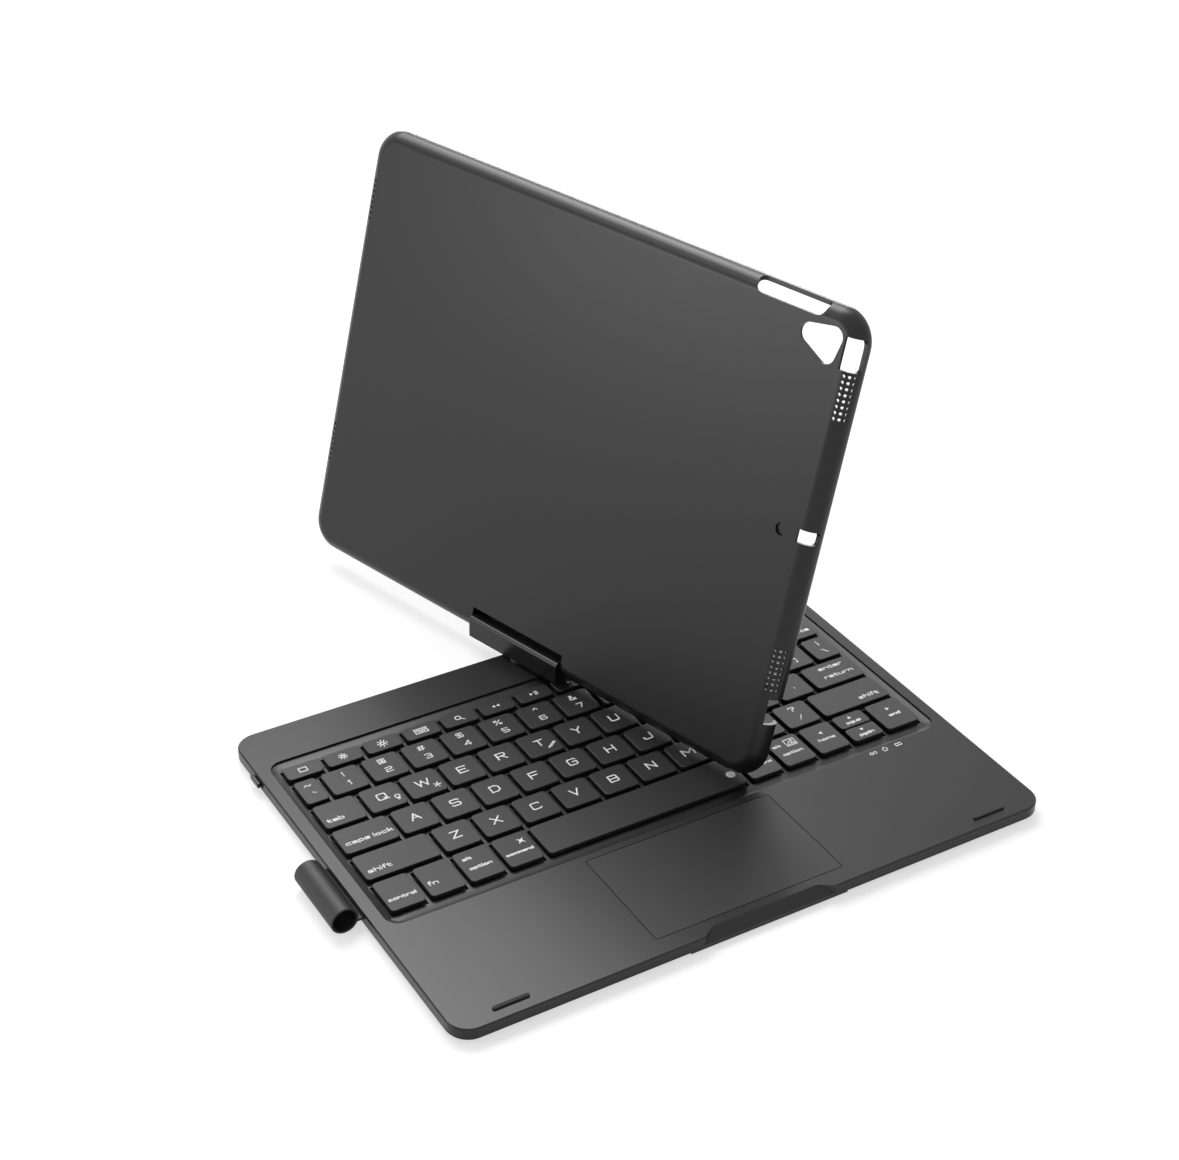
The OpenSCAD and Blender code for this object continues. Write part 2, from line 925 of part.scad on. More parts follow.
module key_membrane() {
    color(film_clear) from_front() {
        key_sheet(membrane_z, film_t);
        block([-tail_x - tail_w / 2, recess_back - stack_margin - cut, membrane_z],
            [-tail_x + tail_w / 2, recess_back + tail_len, membrane_z + film_t]);
    }
}

// Middle of each key's switch, from a row of cells
module at_switches() {
    for (row = ROWS)
        for (i = [0 : last_cell(row)]) {
            x = cell_x(row[0], i) + cell_w(row[0], i) / 2;
            split = row[1] == row_space_y && i == up_down_cell;
            for (y = split ? row[2] * half_cap_switches : [row[2] / 2])
                translate([x, row[1] + y]) children();
        }
}

module dome_sheet() {
    color(rubber_black) {
        from_front() key_sheet(dome_z, film_t);
        from_corner() at_switches() translate([0, 0, stack_top])
            cylinder(h = dome_h, r1 = dome_r, r2 = dome_top_r);
    }
}

module batteries() {
    color(cell_silver) from_corner()
        for (x = [battery_side, base_w - battery_side - battery_w])
            translate([x, battery_front, cover_top]) cube([battery_w, battery_d, battery_t]);
}

module sleep_magnets() {
    color(steel) from_corner()
        for (y = magnet_y)
            translate([pad_x - pad_w / 2 - magnet_out, y, deck_under - magnet_t])
                cube([magnet_w, magnet_d, magnet_t]);
}

// Each chip is [share of the board's length, distance from its front edge, w, d, h]
module main_board() {
    board_x = base_w - board_side - board_w;
    board_y = recess_back + board_front;
    color(board_green) from_corner() difference() {
        union() {
            translate([board_x, board_y, board_z]) cube([board_w, board_d, board_t]);
            for (chip = chips)
                translate([board_x + chip[0] * board_w, board_y + chip[1], board_z + board_t])
                    cube([chip[2], chip[3], chip[4]]);
        }
        at_bosses() post(boss_r + part_gap, cover_top, deck_z);
    }
}

module charge_port() {
    color(steel) from_corner() translate([base_w - port_len - pocket_gap, port_y, port_z])
        rotate([90, 0, 90]) difference() {
            linear_extrude(port_len) round_slot(port_w, port_h);
            translate([0, 0, port_wall]) linear_extrude(port_len)
                round_slot(port_w - 2 * port_wall, port_h - 2 * port_wall);
        }
}

module switch_housing() {
    housing_x = flange_x + switch_flange_t + slide_gap;
    color(rubber_black) from_corner()
        block([housing_x, switch_y - switch_travel - slide_gap, cover_top],
            [housing_x + switch_box_t, switch_y + switch_len + slide_gap,
            deck_under - slide_gap]);
}

module power_switch() {
    color(case_black) from_corner() {
        block([-nub_out, switch_y, switch_z],
            [-nub_out + nub_t, switch_y + switch_len, switch_z + nub_h]);
        block([-nub_out + nub_t, switch_y + neck_in, switch_z + (nub_h - neck_h) / 2],
            [flange_x, switch_y + switch_len - neck_in, switch_z + (nub_h + neck_h) / 2]);
        block([flange_x, switch_y, switch_z],
            [flange_x + switch_flange_t, switch_y + switch_len, switch_z + nub_h]);
    }
}

// ---------------------------------------------------------------- trackpad

// The two hinge places under the trackpad's far edge
module at_pad_lugs() {
    for (x = [-1, 1])
        translate([pad_x + x * pad_lug_x, pad_axis_y, pad_axis_z]) children();
}

module trackpad_plate() {
    color(case_black) from_corner() difference() {
        union() {
            translate([pad_x, pad_front])
                round_plate(pad_w, pad_d, pad_corner_r, deck_z - pad_t, pad_t);
            at_pad_lugs() {
                rod(pad_lug_r, -pad_lug_w / 2, pad_lug_w / 2);
                block([-pad_lug_w / 2, -pad_lug_reach, -pad_lug_r],
                    [pad_lug_w / 2, 0, pad_lug_r]);
                block([-pad_lug_w / 2, -pad_lug_reach, 0], [pad_lug_w / 2,
                    pad_lug_stem - pad_lug_reach, deck_z - pad_t - pad_axis_z + cut / 4]);
            }
        }
        at_pad_lugs() rod(pad_pin_r + running_fit, -pad_lug_w, pad_lug_w);
    }
}

module trackpad_board() {
    color(board_green) from_corner() difference() {
        translate([pad_x, pad_front + pad_board_front])
            round_plate(pad_board_w, pad_board_d, pad_corner_r,
                deck_z - pad_t - pad_board_t, pad_board_t);
        at_pad_lugs() block([-pad_lug_w, -pad_lug_reach - pad_corner_r, 0],
            [pad_lug_w, cut, deck_z]);
    }
}

module trackpad_bracket() {
    color(steel) from_corner() difference() {
        union() {
            translate([pad_x, pad_front + bracket_in])
                round_plate(pad_board_w, pad_axis_y + pad_ear_d / 2 - pad_front - bracket_in,
                    pad_corner_r, bracket_z, bracket_t);
            for (x = [-1, 1])
                for (y = [pad_front + 2 * bracket_in, (pad_front + pad_axis_y) / 2,
                        pad_axis_y - pad_lug_reach])
                    translate([pad_x + x * (pad_board_w / 2 - 2 * bracket_post_r), y])
                        post(bracket_post_r, cover_top, bracket_z + bracket_t / 2);
            at_pad_lugs() {
                rod(pad_pin_r, -pad_lug_w / 2 - pad_ear_w, pad_lug_w / 2 + pad_ear_w);
                for (x = [-1, 1])
                    translate([x * (pad_lug_w / 2 + pocket_gap + pad_ear_w / 2), 0, 0])
                        block([-pad_ear_w / 2, -pad_ear_d / 2, bracket_z - pad_axis_z],
                            [pad_ear_w / 2, pad_ear_d / 2, pad_ear_top]);
            }
        }
        translate([pad_x, pad_switch_y]) block([-pad_switch_w, -pad_switch_w, 0] / 2
            - [2 * part_gap, 2 * part_gap, 0], [pad_switch_w, pad_switch_w, 0] / 2
            + [2 * part_gap, 2 * part_gap, bracket_z + cut]);
    }
}

module trackpad_switch() {
    color(dark_steel) from_corner() translate([pad_x, pad_switch_y]) {
        block([-pad_switch_w / 2, -pad_switch_w / 2, cover_top],
            [pad_switch_w / 2, pad_switch_w / 2, cover_top + pad_switch_h]);
        post(pad_plunger_r, cover_top + pad_switch_h,
            deck_z - pad_t - pad_board_t - pad_plunger_gap);
    }
}

// ---------------------------------------------------------------- stylus loop

module stylus_loop() {
    axis_x = -loop_r - loop_side;
    axis_z = loop_floor + loop_r;
    color(rubber_black) from_corner() translate([0, loop_front, 0]) difference() {
        union() {
            translate([axis_x, 0, axis_z]) rotate([-90, 0, 0])
                cylinder(h = loop_len, r = loop_r);
            block([axis_x, 0, web_z], [anchor_x, loop_len, web_z + web_t]);
            block([anchor_x, 0, cover_top + anchor_gap],
                [anchor_x + anchor_t, loop_len, deck_under - anchor_gap]);
        }
        translate([axis_x, -cut, axis_z]) rotate([-90, 0, 0])
            cylinder(h = loop_len + 2 * cut, r = loop_bore_r);
    }
}

// ---------------------------------------------------------------- swivel

module swivel_washer() {
    color(steel) difference() {
        post(washer_r, deck_z, deck_z + washer_t);
        post(shaft_r + running_fit, deck_z - cut, deck_z + washer_t + cut);
    }
}

module swivel_bush() {
    color(brass_gold) difference() {
        union() {
            post(shaft_r + running_fit + bush_wall, bush_low, deck_z);
            post(shaft_r + running_fit + 2 * bush_wall, bush_low, bush_low + flange_t);
        }
        post(shaft_r + running_fit, bush_low - cut, deck_z + cut);
    }
}

module swivel_plate() {
    plate_low = deck_under - swivel_plate_t;
    color(steel) difference() {
        block([-swivel_plate_w / 2, -swivel_plate_front, plate_low],
            [swivel_plate_w / 2, swivel_plate_back, deck_under]);
        post(shaft_r + running_fit + bush_wall, plate_low - cut, deck_under + cut);
        at_plate_screws() post(screw_r, plate_low - cut, deck_under + cut);
    }
    color(dark_steel) at_plate_screws() {
        post(screw_r, plate_low - screw_head_t, deck_z - case_wall / 2);
        post(screw_head_r, plate_low - screw_head_t, plate_low);
    }
}

module swivel_shaft() {
    color(steel) at_swivel() difference() {
        union() {
            post(shaft_r, nut_low, head_z);
            post(head_r, head_z, head_z + head_t);
        }
        block([-head_r - cut, -drive_slot_w / 2, head_z + head_t - drive_slot_d],
            [head_r + cut, drive_slot_w / 2, head_z + head_t + cut]);
    }
}

module wave_washer() {
    color(dark_steel) difference() {
        post(head_r, nut_low + nut_t, nut_low + nut_t + wave_t);
        post(shaft_r, nut_low, nut_low + nut_t + wave_t + cut);
    }
}

module swivel_nut() {
    color(steel) at_swivel() difference() {
        translate([0, 0, nut_low]) cylinder(h = nut_t, r = nut_r, $fn = 6);
        post(shaft_r, nut_low - cut, nut_low + nut_t + cut);
    }
}

// Section of the hinge block, from its front face to its back face
module block_section() {
    half = block_d / 2;
    translate([-half, block_low]) square([block_d, block_high - block_edge_r - block_low]);
    translate([-half + block_edge_r, block_low])
        square([block_d - 2 * block_edge_r, block_high - block_low]);
    for (x = [-1, 1])
        translate([x * (half - block_edge_r), block_high - block_edge_r])
            circle(block_edge_r);
}

// The opening in the block's screen side over the shaft's head
module head_opening(grow) {
    block([-block_cover_w / 2 - grow, block_d / 2 - block_cover_t,
        head_z + head_t - block_cover_h + block_cover_up - grow],
        [block_cover_w / 2 + grow, block_d / 2 + (grow > 0 ? cut : 0),
        head_z + head_t + block_cover_up + grow]);
}

module hinge_block() {
    color(case_black) at_swivel() difference() {
        translate([-block_w / 2, 0, 0]) rotate([90, 0, 90])
            linear_extrude(block_w) block_section();
        post(shaft_r, block_low - cut, head_z + cut);
        post(head_r + part_gap, head_z, head_z + head_t + head_room_h);
        block([-head_room_w / 2, 0, head_z],
            [head_room_w / 2, block_d / 2 + cut, head_z + head_t + head_room_h]);
        head_opening(cover_fit);
        for (side = [0, 1])
            mirror([side, 0, 0]) translate([0, 0, tilt_z])
                rod(sleeve_r, sleeve_low - sleeve_room, block_w / 2 + cut);
    }
}

module hinge_block_cover() {
    color(case_black) at_swivel() head_opening(0);
}

module friction_sleeves() {
    color(brass_gold) at_swivel() translate([0, 0, tilt_z])
        for (side = [0, 1])
            mirror([side, 0, 0]) difference() {
                rod(sleeve_r, sleeve_low, block_w / 2);
                rod(pin_r + running_fit, sleeve_low - cut, block_w / 2 + cut);
            }
}

// ---------------------------------------------------------------- tray

// Both ends of the tilt axis, mirrored about the block
module both_ends() {
    children();
    mirror([1, 0, 0]) children();
}

module tilt_pins() {
    color(steel) at_tilt() both_ends()
        rod(pin_r, pin_low, block_w / 2 + arm_gap + knuckle_len);
}

module hinge_arms() {
    arm_u = block_w / 2 + arm_gap;
    color(steel) at_tilt() both_ends() difference() {
        union() {
            rod(knuckle_r, arm_u, arm_u + knuckle_len);
            block([arm_u, arm_low, arm_back - arm_t],
                [arm_u + arm_len, arm_high, arm_back]);
        }
        rod(pin_r, arm_u - cut, arm_u + knuckle_len);
        for (u = arm_screw_u)
            translate([block_w / 2 + u, arm_screw_v, 0])
                post(arm_screw_r, arm_back - arm_t - cut, arm_back + cut);
    }
}

module hinge_screws() {
    color(dark_steel) at_tilt() both_ends()
        for (u = arm_screw_u)
            translate([block_w / 2 + u, arm_screw_v, 0]) {
                post(arm_screw_r, arm_back - arm_t, arm_back + arm_screw_depth);
                post(arm_screw_r * 2, arm_back - arm_t - arm_screw_head_t,
                    arm_back - arm_t);
            }
}

module hinge_cover_strips() {
    color(case_black) at_tilt() both_ends()
        block([block_w / 2 + notch_gap + channel_fit, strip_low, tray_front + channel_fit],
            [channel_end - channel_fit, strip_high, tray_front + channel_fit + strip_t]);
}

// Opening through a side wall and around onto the back edge
module side_slot(v_low, v_high) {
    r = side_slot_r;
    through = tray_back - side_slot_front + cut;
    translate([tray_w / 2 - side_slot_in, 0, side_slot_front]) {
        block([0, v_low, r], [side_slot_in + cut, v_high, through]);
        block([0, v_low + r, 0], [side_slot_in + cut, v_high - r, through]);
        for (v = [v_low + r, v_high - r])
            translate([0, v, r]) rod(r, 0, side_slot_in + cut);
    }
}

// Rows of small holes around the tray's rounded edge, centred on v
module sound_holes(v) {
    for (i = [0 : sound_rows - 1])
        translate([tray_w / 2 - tray_edge_r, v + (i - (sound_rows - 1) / 2) * sound_pitch,
            tray_back - tray_edge_r])
            for (turn = sound_turns)
                rotate([0, -turn, 0]) rod(sound_hole_r, sound_from, tray_edge_r + cut);
}

module tray_openings() {
    tablet_right = tablet_w / 2;
    tablet_top = pocket_top - pocket_gap;
    volume_u = tablet_right - (volume_from + volume_to) / 2;
    // camera, and the blind hole in the back panel
    translate([tablet_right, tablet_top, pocket_back - cut]) linear_extrude(back_wall + 2 * cut)
        round_triangle(camera_corners, camera_r);
    translate([tablet_right + back_hole[0], tablet_top + back_hole[1]])
        post(back_hole_r, tray_back - back_hole_depth, tray_back + cut);
    // volume buttons, in the far edge
    translate([volume_u, tablet_top - volume_drop, volume_w]) rotate([-90, 0, 0])
        linear_extrude(volume_drop + side_wall + pocket_gap + cut)
            round_slot(volume_from - volume_to, volume_h);
    translate([volume_u, tablet_top, 0]) linear_extrude(tray_back + cut)
        round_slot(volume_from - volume_to - 2 * volume_end_in, 2 * volume_drop);
    // power button, microphone and two groups of sound holes, in the right edge
    side_slot(tablet_top - power_from, tablet_top - power_to);
    side_slot(pocket_low + mic_slot_v - mic_slot_w / 2,
        pocket_low + mic_slot_v + mic_slot_w / 2);
    // round plug socket, open to the screen side
    block([tray_w / 2 - socket_in, pocket_low + socket_from, tray_front - cut],
        [tray_w / 2 + cut, pocket_low + socket_to, pocket_back]);
    // charging socket and the same sound holes, in the left edge
    translate([-tray_w / 2 + side_wall + end_in, pocket_low + pocket_h / 2,
        (pocket_front + pocket_back) / 2]) rotate([90, 0, -90])
            linear_extrude(side_wall + end_in + cut) round_slot(port_slot_w, port_slot_h);
    both_ends() {
        sound_holes(tablet_top - sound_high);
        sound_holes(pocket_low + sound_low);
    }
}

module tray_shell() {
    color(case_black) at_tilt() difference() {
        translate([0, tray_low, 0])
            soft_plate(tray_w, tray_h, tray_corner_r, tray_front, tray_t, tray_rim_r,
                tray_edge_r);
        translate([0, pocket_low, 0])
            soft_plate(pocket_w, pocket_h, pocket_corner_r, pocket_front, pocket_t, 0,
                pocket_edge_r);
        translate([0, pocket_low + lip_reach, 0])
            round_plate(pocket_w - 2 * lip_reach, pocket_h - 2 * lip_reach,
                pocket_corner_r - lip_reach, tray_front - cut, lip_t + 2 * cut);
        block([-block_w / 2 - notch_gap, tray_low - cut, tray_front - cut],
            [block_w / 2 + notch_gap, notch_top, tray_back + cut]);
        both_ends() {
            block([block_w / 2, arm_low - part_gap, tray_front + channel_fit + strip_t],
                [channel_end, arm_high + part_gap, arm_back]);
            block([block_w / 2, strip_low - channel_fit, tray_front - cut],
                [channel_end, strip_high + channel_fit,
                tray_front + 2 * channel_fit + strip_t]);
            rod(knuckle_r + knuckle_fit, block_w / 2,
                block_w / 2 + arm_gap + knuckle_len + part_gap);
            for (u = arm_screw_u)
                translate([block_w / 2 + u, arm_screw_v, 0])
                    post(arm_screw_r, arm_back - cut, arm_back + arm_screw_depth);
        }
        tray_openings();
    }
}

top_case();
bottom_cover();
key_backplate();
key_membrane();
dome_sheet();
backlight_guide();
batteries();
main_board();
switch_housing();
trackpad_switch();
trackpad_bracket();
charge_port();
indicator_windows();
deck_bumpers();
rubber_feet();
desk_pad();
base_screws();
stylus_loop();
swivel_plate();
swivel_bush();
swivel_washer();
sleep_magnets();
trackpad_plate();
trackpad_board();
power_switch();
hinge_block();
hinge_block_cover();
swivel_shaft();
wave_washer();
swivel_nut();
friction_sleeves();
tray_shell();
hinge_cover_strips();
hinge_arms();
tilt_pins();
hinge_screws();
function_keys();
number_keys();
top_letter_keys();
home_letter_keys();
bottom_letter_keys();
key_grave();
key_delete();
key_tab();
key_backslash();
key_caps_lock();
key_return();
key_shift_left();
key_shift_right();
key_control();
key_fn();
key_alt_left();
key_meta_left();
key_space();
key_meta_right();
key_alt_right();
key_arrow_left();
key_arrow_up();
key_arrow_down();
key_arrow_right();
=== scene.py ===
"""Tablet keyboard case: looks for the keyboard base, its keys, the hinge and the tray."""
import json
import math

import bpy
from mathutils import Matrix, Vector


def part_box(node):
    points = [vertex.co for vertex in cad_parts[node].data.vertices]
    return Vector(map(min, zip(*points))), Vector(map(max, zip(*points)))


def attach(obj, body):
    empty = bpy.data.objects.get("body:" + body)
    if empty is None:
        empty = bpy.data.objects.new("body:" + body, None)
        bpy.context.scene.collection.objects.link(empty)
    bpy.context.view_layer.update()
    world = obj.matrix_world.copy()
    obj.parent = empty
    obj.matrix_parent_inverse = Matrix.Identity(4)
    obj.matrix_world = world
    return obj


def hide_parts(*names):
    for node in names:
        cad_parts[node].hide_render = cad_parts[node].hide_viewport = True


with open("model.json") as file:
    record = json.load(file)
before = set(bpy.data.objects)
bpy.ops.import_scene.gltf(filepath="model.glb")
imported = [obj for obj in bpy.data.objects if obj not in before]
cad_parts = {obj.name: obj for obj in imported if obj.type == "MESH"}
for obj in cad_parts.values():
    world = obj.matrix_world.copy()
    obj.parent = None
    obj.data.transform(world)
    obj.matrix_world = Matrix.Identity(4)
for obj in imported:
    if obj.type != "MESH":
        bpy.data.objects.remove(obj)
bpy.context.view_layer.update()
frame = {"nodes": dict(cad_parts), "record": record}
MM = 0.001


# ------------------------------------------------------------------ camera

# The camera stands front left of the case and looks down at it.
CAMERA_AT = (-385.5, -679.3, 549.2)     # mm
LOOK_AZIMUTH = 31.63                    # degrees from +Y towards +X
LOOK_DOWN = 32.86
CAMERA_ROLL = -1.34
LENS = 69.98                            # mm, on a 36 mm sensor


def make_camera():
    azimuth, down, roll = (math.radians(a) for a in (LOOK_AZIMUTH, LOOK_DOWN, CAMERA_ROLL))
    ahead = Vector((math.sin(azimuth) * math.cos(down), math.cos(azimuth) * math.cos(down),
                    -math.sin(down)))
    right = ahead.cross(Vector((0, 0, 1))).normalized()
    up = right.cross(ahead)
    up = up * math.cos(roll) + right * math.sin(roll)
    right = ahead.cross(up)
    lens = bpy.data.cameras.new("camera")
    lens.sensor_fit = "HORIZONTAL"
    lens.sensor_width = 36
    lens.lens = LENS
    lens.clip_start = 0.05
    camera = bpy.data.objects.new("camera", lens)
    bpy.context.scene.collection.objects.link(camera)
    turn = Matrix((right, up, -ahead)).transposed().to_4x4()
    camera.matrix_world = Matrix.Translation(Vector(CAMERA_AT) * MM) @ turn
    bpy.context.scene.camera = camera


make_camera()


# ------------------------------------------------------------------ materials

def srgb(code):
    """Linear RGBA of a hex colour."""
    parts = [int(code[i:i + 2], 16) / 255 for i in (1, 3, 5)]
    return [c / 12.92 if c <= 0.04045 else ((c + 0.055) / 1.055) ** 2.4 for c in parts] + [1]


def add(tree, kind, inputs=None, links=None, **settings):
    """A new node with its settings, input values and incoming links."""
    node = tree.nodes.new(kind)
    for name, value in settings.items():
        setattr(node, name, value)
    for name, value in (inputs or {}).items():
        node.inputs[name].default_value = value
    for name, source in (links or {}).items():
        tree.links.new(source, node.inputs[name])
    return node


def new_material(name, **inputs):
    """A material with one principled shader; returns it, its tree and the shader."""
    material = bpy.data.materials.new(name)
    material.use_nodes = True
    tree = material.node_tree
    shader = tree.nodes["Principled BSDF"]
    for key, value in inputs.items():
        shader.inputs[key.replace("_", " ")].default_value = value
    return material, tree, shader


def per_mm(size):
    """Noise scale for features of that size in millimetres."""
    return 1 / (size * MM)


GLOSS_WANDER_MM = 40        # size of the patches in which a moulding's gloss differs
GRAIN_DETAIL, WANDER_DETAIL = 2, 3
LINE_STRETCH = 0.03         # scale of the lines along X, as a share of that across them
LINE_SPREAD = 0.08          # how far a metal's roughness strays from its middle


def add_surface(tree, shader, gloss_source, roughness, spread, height_source, depth_mm):
    """Links a roughness that strays about its middle, and a bump of that depth."""
    gloss = add(tree, "ShaderNodeMapRange",
                {"To Min": roughness - spread, "To Max": roughness + spread},
                {"Value": gloss_source})
    bump = add(tree, "ShaderNodeBump", {"Strength": 1, "Distance": depth_mm * MM},
               {"Height": height_source})
    tree.links.new(gloss.outputs["Result"], shader.inputs["Roughness"])
    tree.links.new(bump.outputs["Normal"], shader.inputs["Normal"])


def moulded(name, colour, roughness, grain_mm, depth_mm, spread=0.05, **inputs):
    """Injection-moulded plastic: a spark-eroded grain, and a gloss that wanders a little."""
    material, tree, shader = new_material(name, Base_Color=srgb(colour), **inputs)
    place = add(tree, "ShaderNodeTexCoord").outputs["Object"]
    grain = add(tree, "ShaderNodeTexNoise",
                {"Scale": per_mm(grain_mm), "Detail": GRAIN_DETAIL}, {"Vector": place})
    wander = add(tree, "ShaderNodeTexNoise",
                 {"Scale": per_mm(GLOSS_WANDER_MM), "Detail": WANDER_DETAIL}, {"Vector": place})
    add_surface(tree, shader, wander.outputs["Fac"], roughness, spread,
                grain.outputs["Fac"], depth_mm)
    return material


def lined_metal(name, colour, roughness, line_mm, depth_mm):
    """Metal with the fine lines of rolling or turning along X."""
    material, tree, shader = new_material(name, Base_Color=srgb(colour), Metallic=1)
    place = add(tree, "ShaderNodeTexCoord").outputs["Object"]
    stretch = add(tree, "ShaderNodeMapping", {"Scale": (LINE_STRETCH, 1, 1)}, {"Vector": place})
    lines = add(tree, "ShaderNodeTexNoise",
                {"Scale": per_mm(line_mm), "Detail": GRAIN_DETAIL},
                {"Vector": stretch.outputs["Vector"]})
    add_surface(tree, shader, lines.outputs["Fac"], roughness, LINE_SPREAD,
                lines.outputs["Fac"], depth_mm)
    return material


# ABS for the shells, moulded against a fine spark-eroded tool: deep black with a soft wide sheen
SHELL = moulded("abs_spark_eroded_black", "#121213", 0.31, 0.35, 0.002, 0.02, IOR=1.42)
# The keycaps' ABS, from a finer tool: a more even surface, a little duller than the shells'
CAP = moulded("abs_fine_satin_black", "#111112", 0.42, 0.3, 0.0015, 0.02, IOR=1.42)
# Printed legends: an opaque white ink, flat and even
INK = moulded("pad_print_ink_white", "#f4f4f2", 0.5, 0.2, 0.0005, 0.04)
# Soft bumpers and feet: natural rubber with a dull, dusty surface
RUBBER = moulded("rubber_moulded_black", "#0d0d0d", 0.72, 0.4, 0.004, 0.06)
# The stylus loop: a thin silicone sleeve, dull, with a broad faint streak along its side
SILICONE = moulded("silicone_smooth_black", "#161617", 0.52, 0.5, 0.0012, 0.04)
# Spring steel of the hinge arms, plates and pins: fine rolling lines
SPRING_STEEL = lined_metal("spring_steel_rolled", "#a9abae", 0.34, 0.12, 0.0008)
# Screws: black oxide over steel, a dark low glint
OXIDE_STEEL = lined_metal("steel_black_oxide", "#2c2c2f", 0.42, 0.12, 0.0006)
# Bearing bushes: turned brass, a warm yellow with fine tool lines
BRASS = lined_metal("brass_turned", "#b89452", 0.3, 0.1, 0.0008)
# Plate under the keys: rolled aluminium sheet, pale grey with a soft glint
ALUMINIUM = lined_metal("aluminium_rolled_sheet", "#9c9ea2", 0.42, 0.15, 0.001)
# Sleep magnets: nickel plate over sintered metal, bright and slightly warm
NICKEL = lined_metal("nickel_plated_magnet", "#a3a39f", 0.22, 0.3, 0.0004)
# Circuit boards: glass laminate under solder mask, dark green and half glossy
LAMINATE = moulded("solder_mask_green", "#16402a", 0.35, 0.8, 0.002)
# Battery pouches: embossed foil film, silvery with a shallow pattern
FOIL = moulded("pouch_foil_silver", "#8d9094", 0.38, 1.2, 0.006, Metallic=0.8)
# Sheets under the keys: polyester film, pale and glossy as it lies in a stack
FILM = moulded("polyester_film_clear", "#d6dade", 0.18, 2.0, 0.0005)
# Windows of the indicator lights: clear acrylic, dark while the lights are off
WINDOW = moulded("acrylic_smoked_window", "#202124", 0.12, 0.8, 0.0003, 0.02)

NODE_FINISH = {
    SHELL: ["top_case", "bottom_cover", "power_switch", "hinge_block", "hinge_block_cover",
            "tray_shell", "hinge_cover_strips"],
    CAP: ["switch_housing", "trackpad_plate"],
    RUBBER: ["dome_sheet", "deck_bumpers", "rubber_feet", "desk_pad"],
    SILICONE: ["stylus_loop"],
    SPRING_STEEL: ["trackpad_bracket", "charge_port", "swivel_plate", "swivel_washer",
                   "swivel_shaft", "wave_washer", "swivel_nut", "hinge_arms", "tilt_pins"],
    OXIDE_STEEL: ["trackpad_switch", "base_screws", "hinge_screws"],
    BRASS: ["swivel_bush", "friction_sleeves"],
    ALUMINIUM: ["key_backplate"],
    NICKEL: ["sleep_magnets"],
    LAMINATE: ["main_board", "trackpad_board"],
    FOIL: ["batteries"],
    FILM: ["key_membrane", "backlight_guide"],
    WINDOW: ["indicator_windows"],
}
BODY_OF = {name: body for body, names in frame["record"]["behaviour"]["bodies"].items()
           for name in names}


def finish_node(name, material):
    """Gives a CAD node its material."""
    node = frame["nodes"][name]
    node.data.materials.clear()
    node.data.materials.append(material)


for finish, names in NODE_FINISH.items():
    for name in names:
        finish_node(name, finish)


# ------------------------------------------------------------------ modelling by hand

def deselect():
    bpy.ops.object.select_all(action="DESELECT")


def take(*objects):
    """Makes these the selection, the first one active."""
    deselect()
    for thing in objects:
        thing.select_set(True)
    bpy.context.view_layer.objects.active = objects[0]


def edit(thing, pick, *steps, kind="FACE"):
    """In edit mode, selects the parts that pick accepts and runs each step on them."""
    take(thing)
    bpy.ops.object.mode_set(mode="EDIT")
    bpy.ops.mesh.select_mode(type=kind)
    bpy.ops.mesh.select_all(action="DESELECT")
    bpy.ops.object.mode_set(mode="OBJECT")
    parts = {"FACE": thing.data.polygons, "EDGE": thing.data.edges,
             "VERT": thing.data.vertices}[kind]
    for part in parts:
        part.select = bool(pick(thing.data, part))
    bpy.ops.object.mode_set(mode="EDIT")
    for step in steps:
        step()
    bpy.ops.object.mode_set(mode="OBJECT")


def everything(mesh, part):
    return True


def ends(mesh, edge):
    return [mesh.vertices[i].co for i in edge.vertices]


NEARLY = 0.9                # a direction is upright when this much of it is


def upright(mesh, edge):
    a, b = ends(mesh, edge)
    return abs(a.z - b.z) > NEARLY * (a - b).length


def apply_modifier(thing, kind, **settings):
    modifier = thing.modifiers.new(kind.lower(), kind)
    for name, value in settings.items():
        setattr(modifier, name, value)
    take(thing)
    bpy.ops.object.modifier_apply(modifier=modifier.name)


MERGE_MM = 0.002            # corners nearer than this are one corner
FLAT_ANGLE = 0.6            # degrees; faces that meet flatter than this are one face
EDGE_ANGLE = 40             # degrees; edges that turn more than this are rounded
FULL_WEIGHT = 100           # normals follow the largest face only


def smooth(thing, angle=35):
    """Smooth shading in which flat faces stay flat beside rounded edges."""
    take(thing)
    bpy.ops.object.shade_smooth_by_angle(angle=math.radians(angle))
    apply_modifier(thing, "WEIGHTED_NORMAL", weight=FULL_WEIGHT, keep_sharp=True)


def softened(name, node, material, width, segments=2):
    """A copy of a CAD node with its sharp edges rounded, which stands for the node."""
    source = frame["nodes"][node]
    piece = source.copy()
    piece.data = source.data.copy()
    piece.name = name
    for key in list(piece.keys()):
        del piece[key]
    piece.parent = None
    bpy.context.scene.collection.objects.link(piece)
    edit(piece, everything,
         lambda: bpy.ops.mesh.remove_doubles(threshold=MERGE_MM * MM),
         lambda: bpy.ops.mesh.dissolve_limited(angle_limit=math.radians(FLAT_ANGLE)),
         kind="VERT")
    apply_modifier(piece, "BEVEL", width=width * MM, segments=segments, limit_method="ANGLE",
                   angle_limit=math.radians(EDGE_ANGLE), use_clamp_overlap=True)
    smooth(piece)
    piece.data.materials.clear()
    piece.data.materials.append(material)
    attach(piece, BODY_OF[node])
    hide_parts(node)


# ------------------------------------------------------------------ base and tray

